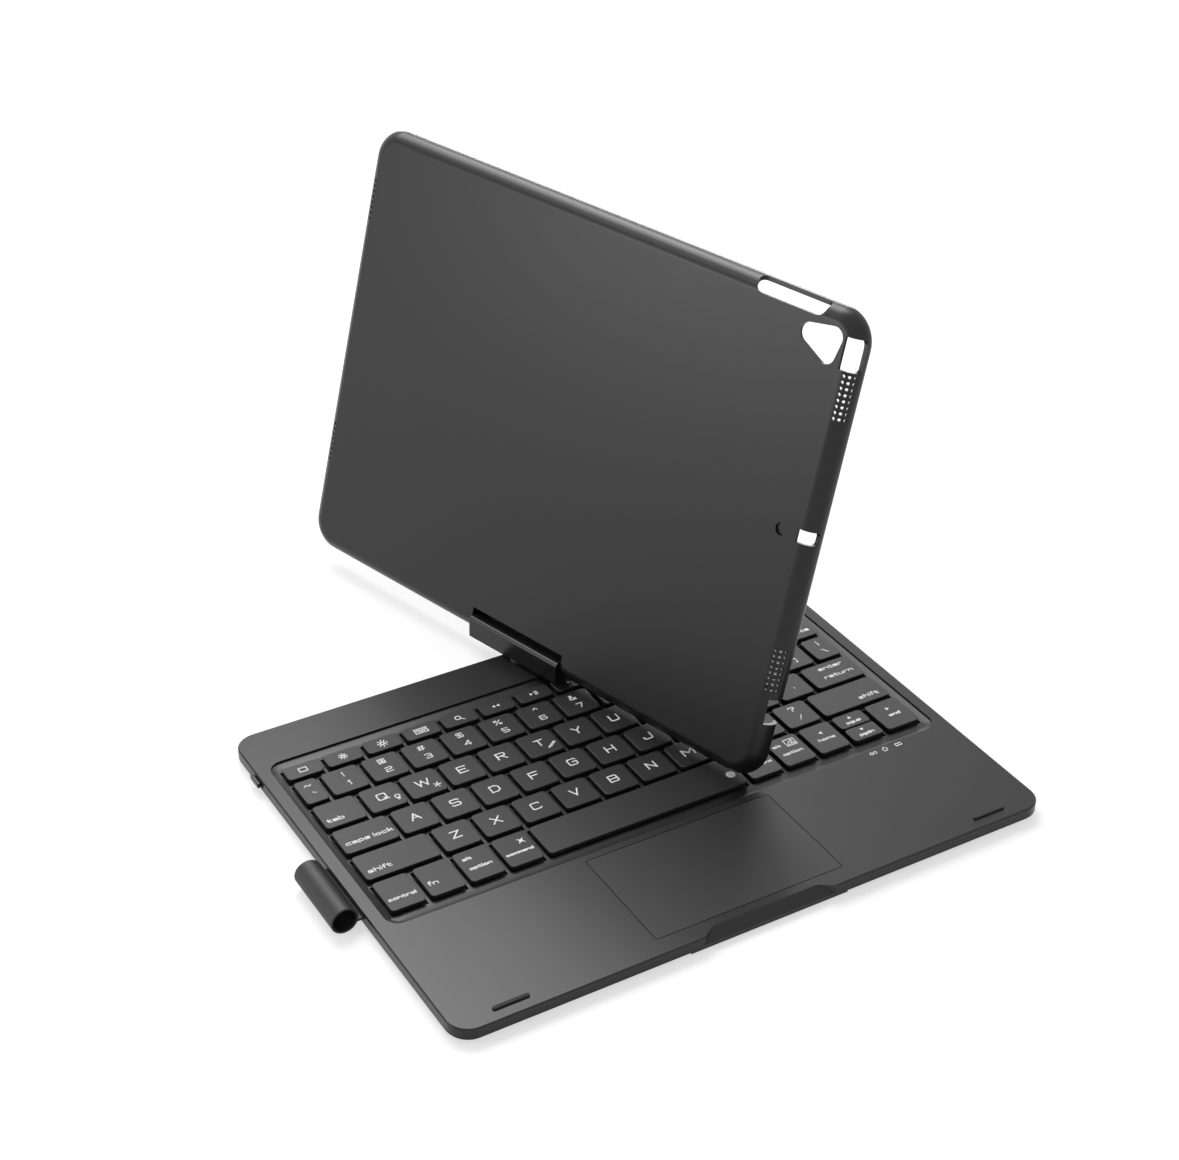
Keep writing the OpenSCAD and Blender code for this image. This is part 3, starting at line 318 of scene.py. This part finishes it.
# Name, node, material, width of the rounding in mm and its segments where not 2
softened("keyboard_deck", "top_case", SHELL, 0.12)
softened("tray_back", "tray_shell", SHELL, 0.2)
softened("hinge_block_body", "hinge_block", SHELL, 0.2)
softened("stylus_sleeve", "stylus_loop", SILICONE, 0.25, 3)
softened("trackpad_glass", "trackpad_plate", CAP, 0.12)
softened("power_switch_knob", "power_switch", SHELL, 0.2)
softened("deck_bumper_bars", "deck_bumpers", RUBBER, 0.25, 3)


# ------------------------------------------------------------------ keys

LETTER_GRID = 8
# Strokes of each capital, digit and sign: x then y on a grid 8 high, a comma between strokes
CAPITALS = {
    "A": "00 38 60,13 53", "B": "54 63 61 50 00 08 58 67 65 54 04",
    "C": "67 58 18 07 01 10 50 61", "D": "00 08 48 66 62 40 00", "E": "68 08 00 60,04 54",
    "F": "00 08 68,04 54", "G": "67 58 18 07 01 10 50 61 64 34", "H": "00 08,60 68,04 64",
    "I": "30 38", "J": "68 61 50 10 01 03", "K": "00 08,58 04 60", "L": "08 00 60",
    "M": "00 08 43 88 80", "N": "00 08 60 68", "O": "10 01 07 18 58 67 61 50 10",
    "P": "00 08 58 67 64 53 03", "Q": "10 01 07 18 58 67 61 50 10,42 70",
    "R": "00 08 58 67 65 54 04,34 60", "S": "67 58 18 07 05 14 54 63 61 50 10 01",
    "T": "08 68,38 30", "U": "08 01 10 50 61 68", "V": "08 30 68",
    "W": "08 20 47 70 98", "X": "00 68,08 60", "Y": "08 34 68,34 30", "Z": "08 68 00 60",
    "0": "10 01 07 18 58 67 61 50 10", "1": "16 38 30", "2": "07 18 58 67 65 54 14 03 00 60",
    "3": "07 18 58 67 65 54 24,54 63 61 50 10 01", "4": "50 58 02 62",
    "5": "68 08 04 54 63 61 50 10 01", "6": "67 58 18 07 01 10 50 61 63 54 04",
    "7": "08 68 30", "8": "14 05 07 18 58 67 65 54 14 03 01 10 50 61 63 54",
    "9": "01 10 50 61 67 58 18 07 05 14 64", "~": "03 15 25 43 53 65", "`": "28 46",
    "!": "38 33,31 30", "@": "44 24 22 42 46 26,42 62 68 08 00 60",
    "#": "10 28,40 58,02 62,06 66", "$": "67 58 18 07 05 14 54 63 61 50 10 01,38 30",
    "%": "00 68,08 06 26 28 08,40 42 62 60 40", "^": "15 38 55",
    "&": "60 16 18 38 36 03 01 10 40 63", "*": "38 32,16 54,14 56", "(": "48 26 22 40",
    ")": "28 46 42 20", "-": "14 54", "_": "00 60", "=": "15 55,13 53", "+": "14 54,37 31",
    "[": "48 28 20 40", "]": "28 48 40 20", "{": "58 38 35 24 33 30 50",
    "}": "18 38 35 44 33 30 10", "\\": "18 50", "|": "38 30", ";": "35 34,32 20",
    ":": "35 34,32 31", "'": "38 36", '"': "28 26,48 46", ",": "32 20", ".": "31 30",
    "<": "57 14 51", ">": "17 54 11", "/": "10 58", "?": "07 18 58 67 65 44 33,31 30",
}
# The same for small letters, whose line stands at 2 on the grid and whose height is 4
SMALLS = {
    "a": "06 46 55 52 12 03 14 54", "b": "09 02 42 53 55 46 06", "c": "56 16 05 03 12 52",
    "d": "59 52 12 03 05 16 56", "e": "04 54 55 46 16 05 03 12 52", "f": "39 29 18 12,06 36",
    "g": "10 40 51 56 16 05 03 12 52", "h": "09 02,06 46 55 52", "i": "06 02,09 08",
    "k": "09 02,46 04 52", "l": "09 02", "m": "02 06 66 75 72,36 32", "n": "02 06 46 55 52",
    "o": "16 05 03 12 42 53 55 46 16", "p": "00 06 46 55 53 42 02", "r": "02 06 46",
    "s": "56 16 05 14 44 53 42 02", "t": "18 13 22 42,06 46", "u": "06 03 12 52 56",
}
SMALL_LINE = 2
SMALL_GRID = 4
SIGN_GAP, SPACE = 2.2, 3    # between two signs and for a space, in grid squares
STRETCH = 1.3               # how much wider than high a letter's grid squares are
# Sizes of the caps and their print, mm
KEY_GAP = 2.15
CAP_ROUND, CAP_ROUND_SEGMENTS = 1.6, 5  # corners seen from above
CAP_SOFT, CAP_SOFT_SEGMENTS = 0.3, 3    # edge of the top
CAP_WALL = 1.0
CAP_SMOOTH_ANGLE = 50                   # degrees
INK_T = 0.02
ICON_SCALE = 1.2
SIGN, LETTER, WORD = 2.6, 3.6, 2.2      # heights
SMALL_WORD, TWO_LINE_WORD, LOW_KEY_WORD, SMALLEST_WORD = 1.6, 1.55, 1.5, 1.3
FINE_LINE = 0.55                        # lines of icons and small words
LETTER_LINE = 0.2                       # lines of letters, as a share of their height
LINE_OVERRUN = 0.4                      # past a corner, as a share of the line's thickness


# Legends are (text, x share, y share, height), with places as shares of the cap from its
# near left corner
def letter(text):
    return [(text, 0.5, 0.52, LETTER)]


def pair(above, below):
    return [(above, 0.5, 0.73, SIGN), (below, 0.53, 0.33, SIGN)]


def ring(x, y, r, count=12):
    return [[(x + r * math.cos(i * math.tau / count), y + r * math.sin(i * math.tau / count))
             for i in range(count + 1)]]


def rays(x, y, inner, outer, count=8):
    turns = [i * math.tau / count for i in range(count)]
    return [[(x + r * math.cos(t), y + r * math.sin(t)) for r in (inner, outer)] for t in turns]


def outline(x0, y0, x1, y1):
    return [[(x0, y0), (x1, y0), (x1, y1), (x0, y1), (x0, y0)]]


# Icons as strokes in millimetres about their middle
ICONS = {
    "square": outline(-1.3, -1, 1.3, 1),
    "dim": ring(0, 0, 0.55, 8) + rays(0, 0, 0.95, 1.4),
    "bright": ring(0, 0, 0.65, 8) + rays(0, 0, 1.1, 1.75),
    "board": outline(-2.2, -1.2, 2.2, 1.2)
             + [[(x - 0.2, y), (x + 0.2, y)] for y in (0.55, 0) for x in (-1.4, -0.5, 0.5, 1.4)]
             + [[(-1, -0.6), (1, -0.6)]],
    "search": ring(-0.35, 0.25, 0.95) + [[(0.35, -0.4), (1.5, -1.3)]],
    "dots": ring(-1.2, 0, 0.12, 6) + ring(0, 0, 0.12, 6) + ring(1.2, 0, 0.12, 6),
    "lock": outline(-0.9, -1.2, 0.9, 0.1) + [[(-0.5, 0.1), (-0.5, 0.8), (0, 1.2), (0.5, 0.8),
                                               (0.5, 0.1)]],
    "speaker": [[(-0.9, 0.4), (-0.4, 0.4), (0.3, 1), (0.3, -1), (-0.4, -0.4), (-0.9, -0.4),
                 (-0.9, 0.4)]],
    "wave": [[(0.8, 0.45), (1.0, 0), (0.8, -0.45)]],
    "wave_wide": [[(1.2, 0.85), (1.6, 0), (1.2, -0.85)]],
    "two_bars": [[(0.9, 0.85), (0.9, -0.85)], [(1.6, 0.85), (1.6, -0.85)]],
    "globe": ring(0, 0, 1.35) + [[(-1.35, 0), (1.35, 0)], [(0, -1.35), (0, 1.35)]]
             + [[(s * 0.1, 1.3), (s * 0.7, 0.6), (s * 0.7, -0.6), (s * 0.1, -1.3)]
                for s in (-1, 1)],
    "bulb": ring(0, 0.4, 0.8, 10) + [[(-0.4, -0.75), (0.4, -0.75)], [(-0.3, -1.2), (0.3, -1.2)]],
    "star": rays(0, 0, 0, 1.2, 5),
    "pencil": [[(-1.4, -1), (1.1, 0.9)], [(-0.9, -1.2), (1.4, 0.5)], [(1.1, 0.9), (1.4, 0.5)],
               [(-1.9, -1.4), (-1.4, -1)], [(-1.9, -1.4), (-0.9, -1.2)]],
    "picture": outline(-1.9, -1.6, 1.9, 1.6) + [[(-1.3, -1), (-0.3, 0.5), (0.4, -0.4),
                                                  (0.8, 0.1), (1.4, -1), (-1.3, -1)]]
               + ring(0.8, 0.9, 0.25, 6),
    "cross": [[(-0.9, -0.9), (0.9, 0.9)], [(-0.9, 0.9), (0.9, -0.9)]]
             + outline(-0.45, -0.45, 0.45, 0.45),
    "caps_light": ring(-0.7, 0, 0.55, 10) + ring(0.75, 0, 0.55, 10),
    "house": [[(-1, 0), (0, 1), (1, 0)], [(-0.6, 0), (-0.6, -0.9), (0.6, -0.9), (0.6, 0)]],
    "charge_light": outline(-1.1, -0.6, 1.1, 0.6) + [[(0, -0.6), (0, 0.6)]],
}


def strokes_of(text):
    """The strokes of a word as lists of grid points, and the word's width on the grid."""
    paths, pen = [], 0
    for sign in text:
        if sign == " ":
            pen += SPACE
            continue
        table, line = (SMALLS, SMALL_LINE) if sign in SMALLS else (CAPITALS, 0)
        wide = 0
        for stroke in table[sign].split(","):
            points = [(int(p[0]), int(p[1])) for p in stroke.split()]
            wide = max([wide] + [x for x, y in points])
            paths.append([(pen + x, y - line) for x, y in points])
        pen += wide + SIGN_GAP
    return paths, pen - SIGN_GAP


def print_strokes(paths, thickness):
    """Flat printed lines along paths given in millimetres, lying on z = 0."""
    line = bpy.data.curves.new("legend", "CURVE")
    line.dimensions = "3D"
    line.bevel_depth = thickness / 2 * MM
    line.bevel_resolution = 0
    line.use_fill_caps = True
    for path in paths:
        for start, stop in zip(path, path[1:]):
            a, b = Vector(start), Vector(stop)
            more = (b - a).normalized() * thickness * LINE_OVERRUN
            part = line.splines.new("POLY")
            part.points.add(1)
            for point, place in zip(part.points, (a - more, b + more)):
                point.co = (place.x * MM, place.y * MM, 0, 1)
    thing = bpy.data.objects.new("legend", line)
    bpy.context.scene.collection.objects.link(thing)
    take(thing)
    bpy.ops.object.convert(target="MESH")
    thing = bpy.context.view_layer.objects.active
    for v in thing.data.vertices:
        v.co.z *= 2 * INK_T / thickness
    return thing


def legend_paths(text, x, y, height):
    """Paths in millimetres of a word or an icon centred on (x, y)."""
    if text in ICONS:
        return [[(x + px * ICON_SCALE, y + py * ICON_SCALE) for px, py in path]
                for path in ICONS[text]]
    paths, wide = strokes_of(text)
    unit = height / LETTER_GRID
    tall = SMALL_GRID if text[0] in SMALLS else LETTER_GRID
    return [[(x + (px - wide / 2) * unit * STRETCH, y + (py - tall / 2) * unit)
             for px, py in path] for path in paths]


def stroke_of(text, height):
    """Thickness of the lines of a word or an icon."""
    return FINE_LINE if text in ICONS else max(FINE_LINE, LETTER_LINE * height)


def place_print(thing, offset):
    """Moves flat print to its place and gives it the ink, as a second material after CAP."""
    thing.data.transform(Matrix.Translation(offset))
    thing.data.materials.append(CAP)
    thing.data.materials.append(INK)
    for face in thing.data.polygons:
        face.material_index = 1
    return thing


def apply_place():
    """Puts the new primitive's place, turn and size into its mesh and returns the object."""
    bpy.ops.object.transform_apply(location=True, rotation=True, scale=True)
    return bpy.context.view_layer.objects.active


def triangle(x, y, size, turn):
    """A filled printed triangle, turned by that many degrees from pointing right."""
    deselect()
    bpy.ops.mesh.primitive_circle_add(
        vertices=3, radius=size * MM, fill_type="NGON", location=(x * MM, y * MM, 0),
        rotation=(0, 0, math.radians(turn - 90)))
    mark = apply_place()
    edit(mark, everything, lambda: bpy.ops.mesh.extrude_region_move(
        TRANSFORM_OT_translate={"value": (0, 0, INK_T * MM)}))
    return mark


NEAR = 1e-5                 # m; how near counts as touching


def keycap(wide, deep, low, high):
    """A hollow keycap with its near left corner at the origin, between two heights."""
    size = Vector((wide, deep, high - low)) * MM
    bpy.ops.mesh.primitive_cube_add(
        size=1, scale=size, location=size / 2 + Vector((0, 0, low * MM)))
    cap = apply_place()
    edit(cap, lambda mesh, face: face.normal.z < -NEARLY,
         lambda: bpy.ops.mesh.inset(thickness=CAP_WALL * MM),
         lambda: bpy.ops.mesh.extrude_region_move(
             TRANSFORM_OT_translate={"value": (0, 0, (high - low - CAP_WALL) * MM)}))

    def corner(mesh, edge):
        return upright(mesh, edge) and all(
            min(p.x, wide * MM - p.x) < NEAR and min(p.y, deep * MM - p.y) < NEAR
            for p in ends(mesh, edge))

    edit(cap, corner, lambda: bpy.ops.mesh.bevel(
        offset=CAP_ROUND * MM, segments=CAP_ROUND_SEGMENTS, affect="EDGES"), kind="EDGE")
    edit(cap, lambda mesh, face: face.normal.z > NEARLY and face.center.z > high * MM - NEAR,
         lambda: bpy.ops.mesh.bevel(offset=CAP_SOFT * MM, segments=CAP_SOFT_SEGMENTS,
                                    affect="EDGES"))
    smooth(cap, CAP_SMOOTH_ANGLE)
    cap.data.materials.append(CAP)
    cap.data.materials.append(INK)
    return cap


MASTERS = {}


def cap_copy(wide, deep, low, high):
    """A cap of this size, modelled once and copied after that."""
    size = (round(wide, 2), round(deep, 2))
    if size not in MASTERS:
        deselect()
        MASTERS[size] = keycap(wide, deep, low, high)
    cap = MASTERS[size].copy()
    cap.data = MASTERS[size].data.copy()
    bpy.context.scene.collection.objects.link(cap)
    return cap


def key_piece(node, legends):
    """The caps of a node with their legends; legends has one list for each cap."""
    low, high = (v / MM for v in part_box(node))
    count = len(legends)
    pitch = (high.x - low.x + KEY_GAP) / count
    wide, deep = pitch - KEY_GAP, high.y - low.y
    parts = []
    for i, words in enumerate(legends):
        at = Vector((low.x + i * pitch, low.y, 0)) * MM
        cap = cap_copy(wide, deep, low.z, high.z)
        cap.data.transform(Matrix.Translation(at))
        parts.append(cap)
        for text, x, y, size in words:
            if isinstance(text, int):
                mark = triangle(x * wide, y * deep, size, text)
            else:
                mark = print_strokes(legend_paths(text, x * wide, y * deep, size),
                                     stroke_of(text, size))
            parts.append(place_print(mark, at + Vector((0, 0, high.z * MM))))
    take(*parts)
    bpy.ops.object.join()
    piece = bpy.context.view_layer.objects.active
    piece.name = node.replace("_keys", "_keycaps") if node.endswith("_keys") else node + "_cap"
    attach(piece, BODY_OF[node])
    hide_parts(node)
    finish_node(node, CAP)


# A number in the place of a legend's text is the turn of a printed triangle
RIGHT, UP, LEFT, DOWN = 0, 90, 180, 270


def icon(name, x=0.5, y=0.5):
    return (name, x, y, 0)


FUNCTIONS = [
    [icon("square")], [icon("dim")], [icon("bright")], [icon("board")], [icon("search")],
    [(LEFT, 0.42, 0.5, 0.95), (LEFT, 0.55, 0.5, 0.95)],
    [(RIGHT, 0.42, 0.5, 0.95), icon("two_bars", 0.48)],
    [(RIGHT, 0.45, 0.5, 0.95), (RIGHT, 0.58, 0.5, 0.95)],
    [icon("speaker")], [icon("speaker"), icon("wave")],
    [icon("speaker"), icon("wave"), icon("wave_wide")], [icon("dots")], [icon("search")],
    [icon("lock")],
]
key_piece("function_keys", FUNCTIONS)
key_piece("number_keys", [pair(a, b) for a, b in zip("!@#$%^&*()_+", "1234567890-=")])
top_letters = [letter(c) for c in "QWERTYUIOP"] + [pair("{", "["), pair("}", "]")]
top_letters[0].append(icon("bulb", 0.84, 0.32))
top_letters[1].append(icon("star", 0.8, 0.28))
top_letters[4].append(icon("pencil", 0.78, 0.34))
key_piece("top_letter_keys", top_letters)
key_piece("home_letter_keys", [letter(c) for c in "ASDFGHJKL"] + [pair(":", ";"), pair('"', "'")])
key_piece("bottom_letter_keys", [letter(c) for c in "ZXCVBNM"]
          + [pair("<", ","), pair(">", "."), pair("?", "/")])
key_piece("key_grave", [pair("~", "`")])
key_piece("key_delete", [[("delete", 0.56, 0.3, WORD)]])
key_piece("key_tab", [[("tab", 0.31, 0.26, WORD)]])
key_piece("key_backslash", [pair("|", "\\")])
key_piece("key_caps_lock", [[("caps lock", 0.53, 0.36, WORD)]])
key_piece("key_return", [[("enter", 0.56, 0.75, WORD), ("return", 0.57, 0.35, WORD)]])
key_piece("key_shift_left", [[("shift", 0.23, 0.28, WORD)]])
key_piece("key_shift_right", [[("shift", 0.74, 0.25, WORD)]])
key_piece("key_control", [[("control", 0.5, 0.33, SMALL_WORD)]])
key_piece("key_fn", [[("fn", 0.26, 0.38, WORD)]])
option = ("option", 0.5, 0.39, TWO_LINE_WORD)
command = [icon("cross", 0.74, 0.7), ("command", 0.5, 0.38, SMALLEST_WORD)]
key_piece("key_alt_left", [[("alt", 0.3, 0.72, TWO_LINE_WORD), option]])
key_piece("key_meta_left", [command])
key_piece("key_space", [[icon("globe", 0.955, 0.4)]])
key_piece("key_meta_right", [command])
key_piece("key_alt_right", [[("alt", 0.22, 0.72, TWO_LINE_WORD), icon("picture", 0.68, 0.74),
                             option]])
key_piece("key_arrow_left", [[(LEFT, 0.53, 0.68, 1.1), ("home", 0.53, 0.43, SMALL_WORD)]])
key_piece("key_arrow_up", [[(UP, 0.5, 0.66, 1.0), ("pgup", 0.52, 0.3, LOW_KEY_WORD)]])
key_piece("key_arrow_down", [[(DOWN, 0.5, 0.72, 1.0), ("pgdn", 0.52, 0.32, LOW_KEY_WORD)]])
key_piece("key_arrow_right", [[(RIGHT, 0.5, 0.69, 1.1), ("end", 0.55, 0.44, SMALL_WORD)]])
for master in MASTERS.values():
    bpy.data.objects.remove(master)


# Icons printed on the deck over the indicator lights, in a row between the outer lights
LIGHT_ICON_LINE = 0.42      # mm
END_INSET = 0.9             # mm from the row's ends to the outer icons' middles
HOUSE_SHIFT = 0.5           # mm; the middle icon stands this much left of its light
light_low, light_high = (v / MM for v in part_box("indicator_windows"))
light_mid = (light_low + light_high) / 2
icon_places = {"caps_light": light_low.x + END_INSET, "house": light_mid.x - HOUSE_SHIFT,
               "charge_light": light_high.x - END_INSET}
marks = []
for name, x in icon_places.items():
    mark = print_strokes(legend_paths(name, x, light_mid.y, 0), LIGHT_ICON_LINE)
    marks.append(place_print(mark, Vector((0, 0, light_high.z * MM))))
take(*marks)
bpy.ops.object.join()
icons = bpy.context.view_layer.objects.active
icons.name = "light_icons"
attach(icons, BODY_OF["indicator_windows"])


# ------------------------------------------------------------------ floor, light and world

FLOOR_SIZE = 12                         # m
FLOOR_GLOW_NEAR, FLOOR_GLOW_FAR = 0.6, 1.0        # added where the floor is seen, 1 is white
FLOOR_NEAR, FLOOR_FAR = 0.8, 3.0        # m from the case, between which the glow grows
WORLD_LIGHT, WORLD_SEEN = 0.4, 1.0      # the world's strength as a light and as a backdrop
LIGHT_AIM = (0, -0.09, 0.05)            # m, the middle of the case
# Name, azimuth from +Y towards +X and elevation in degrees, distance, width and height in
# metres, radiance
SOFTBOXES = [
    ("softbox_back", 0, 53, 1.5, 0.9, 0.8, 4.0),
    ("softbox_back_right", 20, 54, 1.5, 0.8, 0.8, 3.9),
    ("softbox_back_low", 34, 9, 1.8, 1.0, 0.42, 6.0),
    ("softbox_left", -71, 12, 1.4, 0.5, 0.45, 4.6),
    ("softbox_left_high", -40, 46, 1.5, 1.3, 0.5, 1.3),
]


def shows_background(tree):
    """1 for what the camera sees directly, in metal or through glass, and 0 for lighting."""
    path = add(tree, "ShaderNodeLightPath").outputs
    seen = add(tree, "ShaderNodeMath", None, {0: path["Is Camera Ray"], 1: path["Is Glossy Ray"]},
               operation="ADD")
    clear = add(tree, "ShaderNodeMath", None,
                {0: seen.outputs["Value"], 1: path["Is Transmission Ray"]},
                operation="ADD", use_clamp=True)
    return clear.outputs["Value"]


def floor_material():
    """A pale matt floor that keeps the shadow. Light and a glow together make it white."""
    material, tree, shader = new_material(
        "floor_paper_pale", Base_Color=srgb("#b8b8b8"), Roughness=0.9,
        Specular_IOR_Level=0.1, Emission_Color=(1, 1, 1, 1))
    place = add(tree, "ShaderNodeTexCoord").outputs["Object"]
    away = add(tree, "ShaderNodeVectorMath", None, {0: place}, operation="LENGTH")
    level = add(tree, "ShaderNodeMapRange",
                {"From Min": FLOOR_NEAR, "From Max": FLOOR_FAR,
                 "To Min": FLOOR_GLOW_NEAR, "To Max": FLOOR_GLOW_FAR},
                {"Value": away.outputs["Value"]})
    glow = add(tree, "ShaderNodeMath", None,
               {0: shows_background(tree), 1: level.outputs["Result"]}, operation="MULTIPLY")
    tree.links.new(glow.outputs["Value"], shader.inputs["Emission Strength"])
    return material


deselect()
bpy.ops.mesh.primitive_plane_add(size=FLOOR_SIZE, location=(0, 0, 0))
floor = bpy.context.view_layer.objects.active
floor.name = "floor"
floor.data.materials.append(floor_material())


def softbox(name, azimuth, elevation, distance, wide, tall, radiance):
    """A rectangular soft light that shines on the middle of the case."""
    lamp = bpy.data.lights.new(name, "AREA")
    lamp.shape = "RECTANGLE"
    lamp.size, lamp.size_y = wide, tall
    lamp.energy = radiance * math.pi * wide * tall
    thing = bpy.data.objects.new(name, lamp)
    bpy.context.scene.collection.objects.link(thing)
    a, e = math.radians(azimuth), math.radians(elevation)
    away = Vector((math.sin(a) * math.cos(e), math.cos(a) * math.cos(e), math.sin(e)))
    thing.location = Vector(LIGHT_AIM) + away * distance
    thing.rotation_euler = away.to_track_quat("Z", "Y").to_euler()
    thing.visible_camera = False


for row in SOFTBOXES:
    softbox(*row)

world = bpy.data.worlds.new("studio")
bpy.context.scene.world = world
world.use_nodes = True
tree = world.node_tree
level = add(tree, "ShaderNodeMapRange", {"To Min": WORLD_LIGHT, "To Max": WORLD_SEEN},
            {"Value": shows_background(tree)})
back = tree.nodes["Background"]
back.inputs["Color"].default_value = (1, 1, 1, 1)
tree.links.new(level.outputs["Result"], back.inputs["Strength"])

bpy.context.scene.view_settings.view_transform = "Standard"
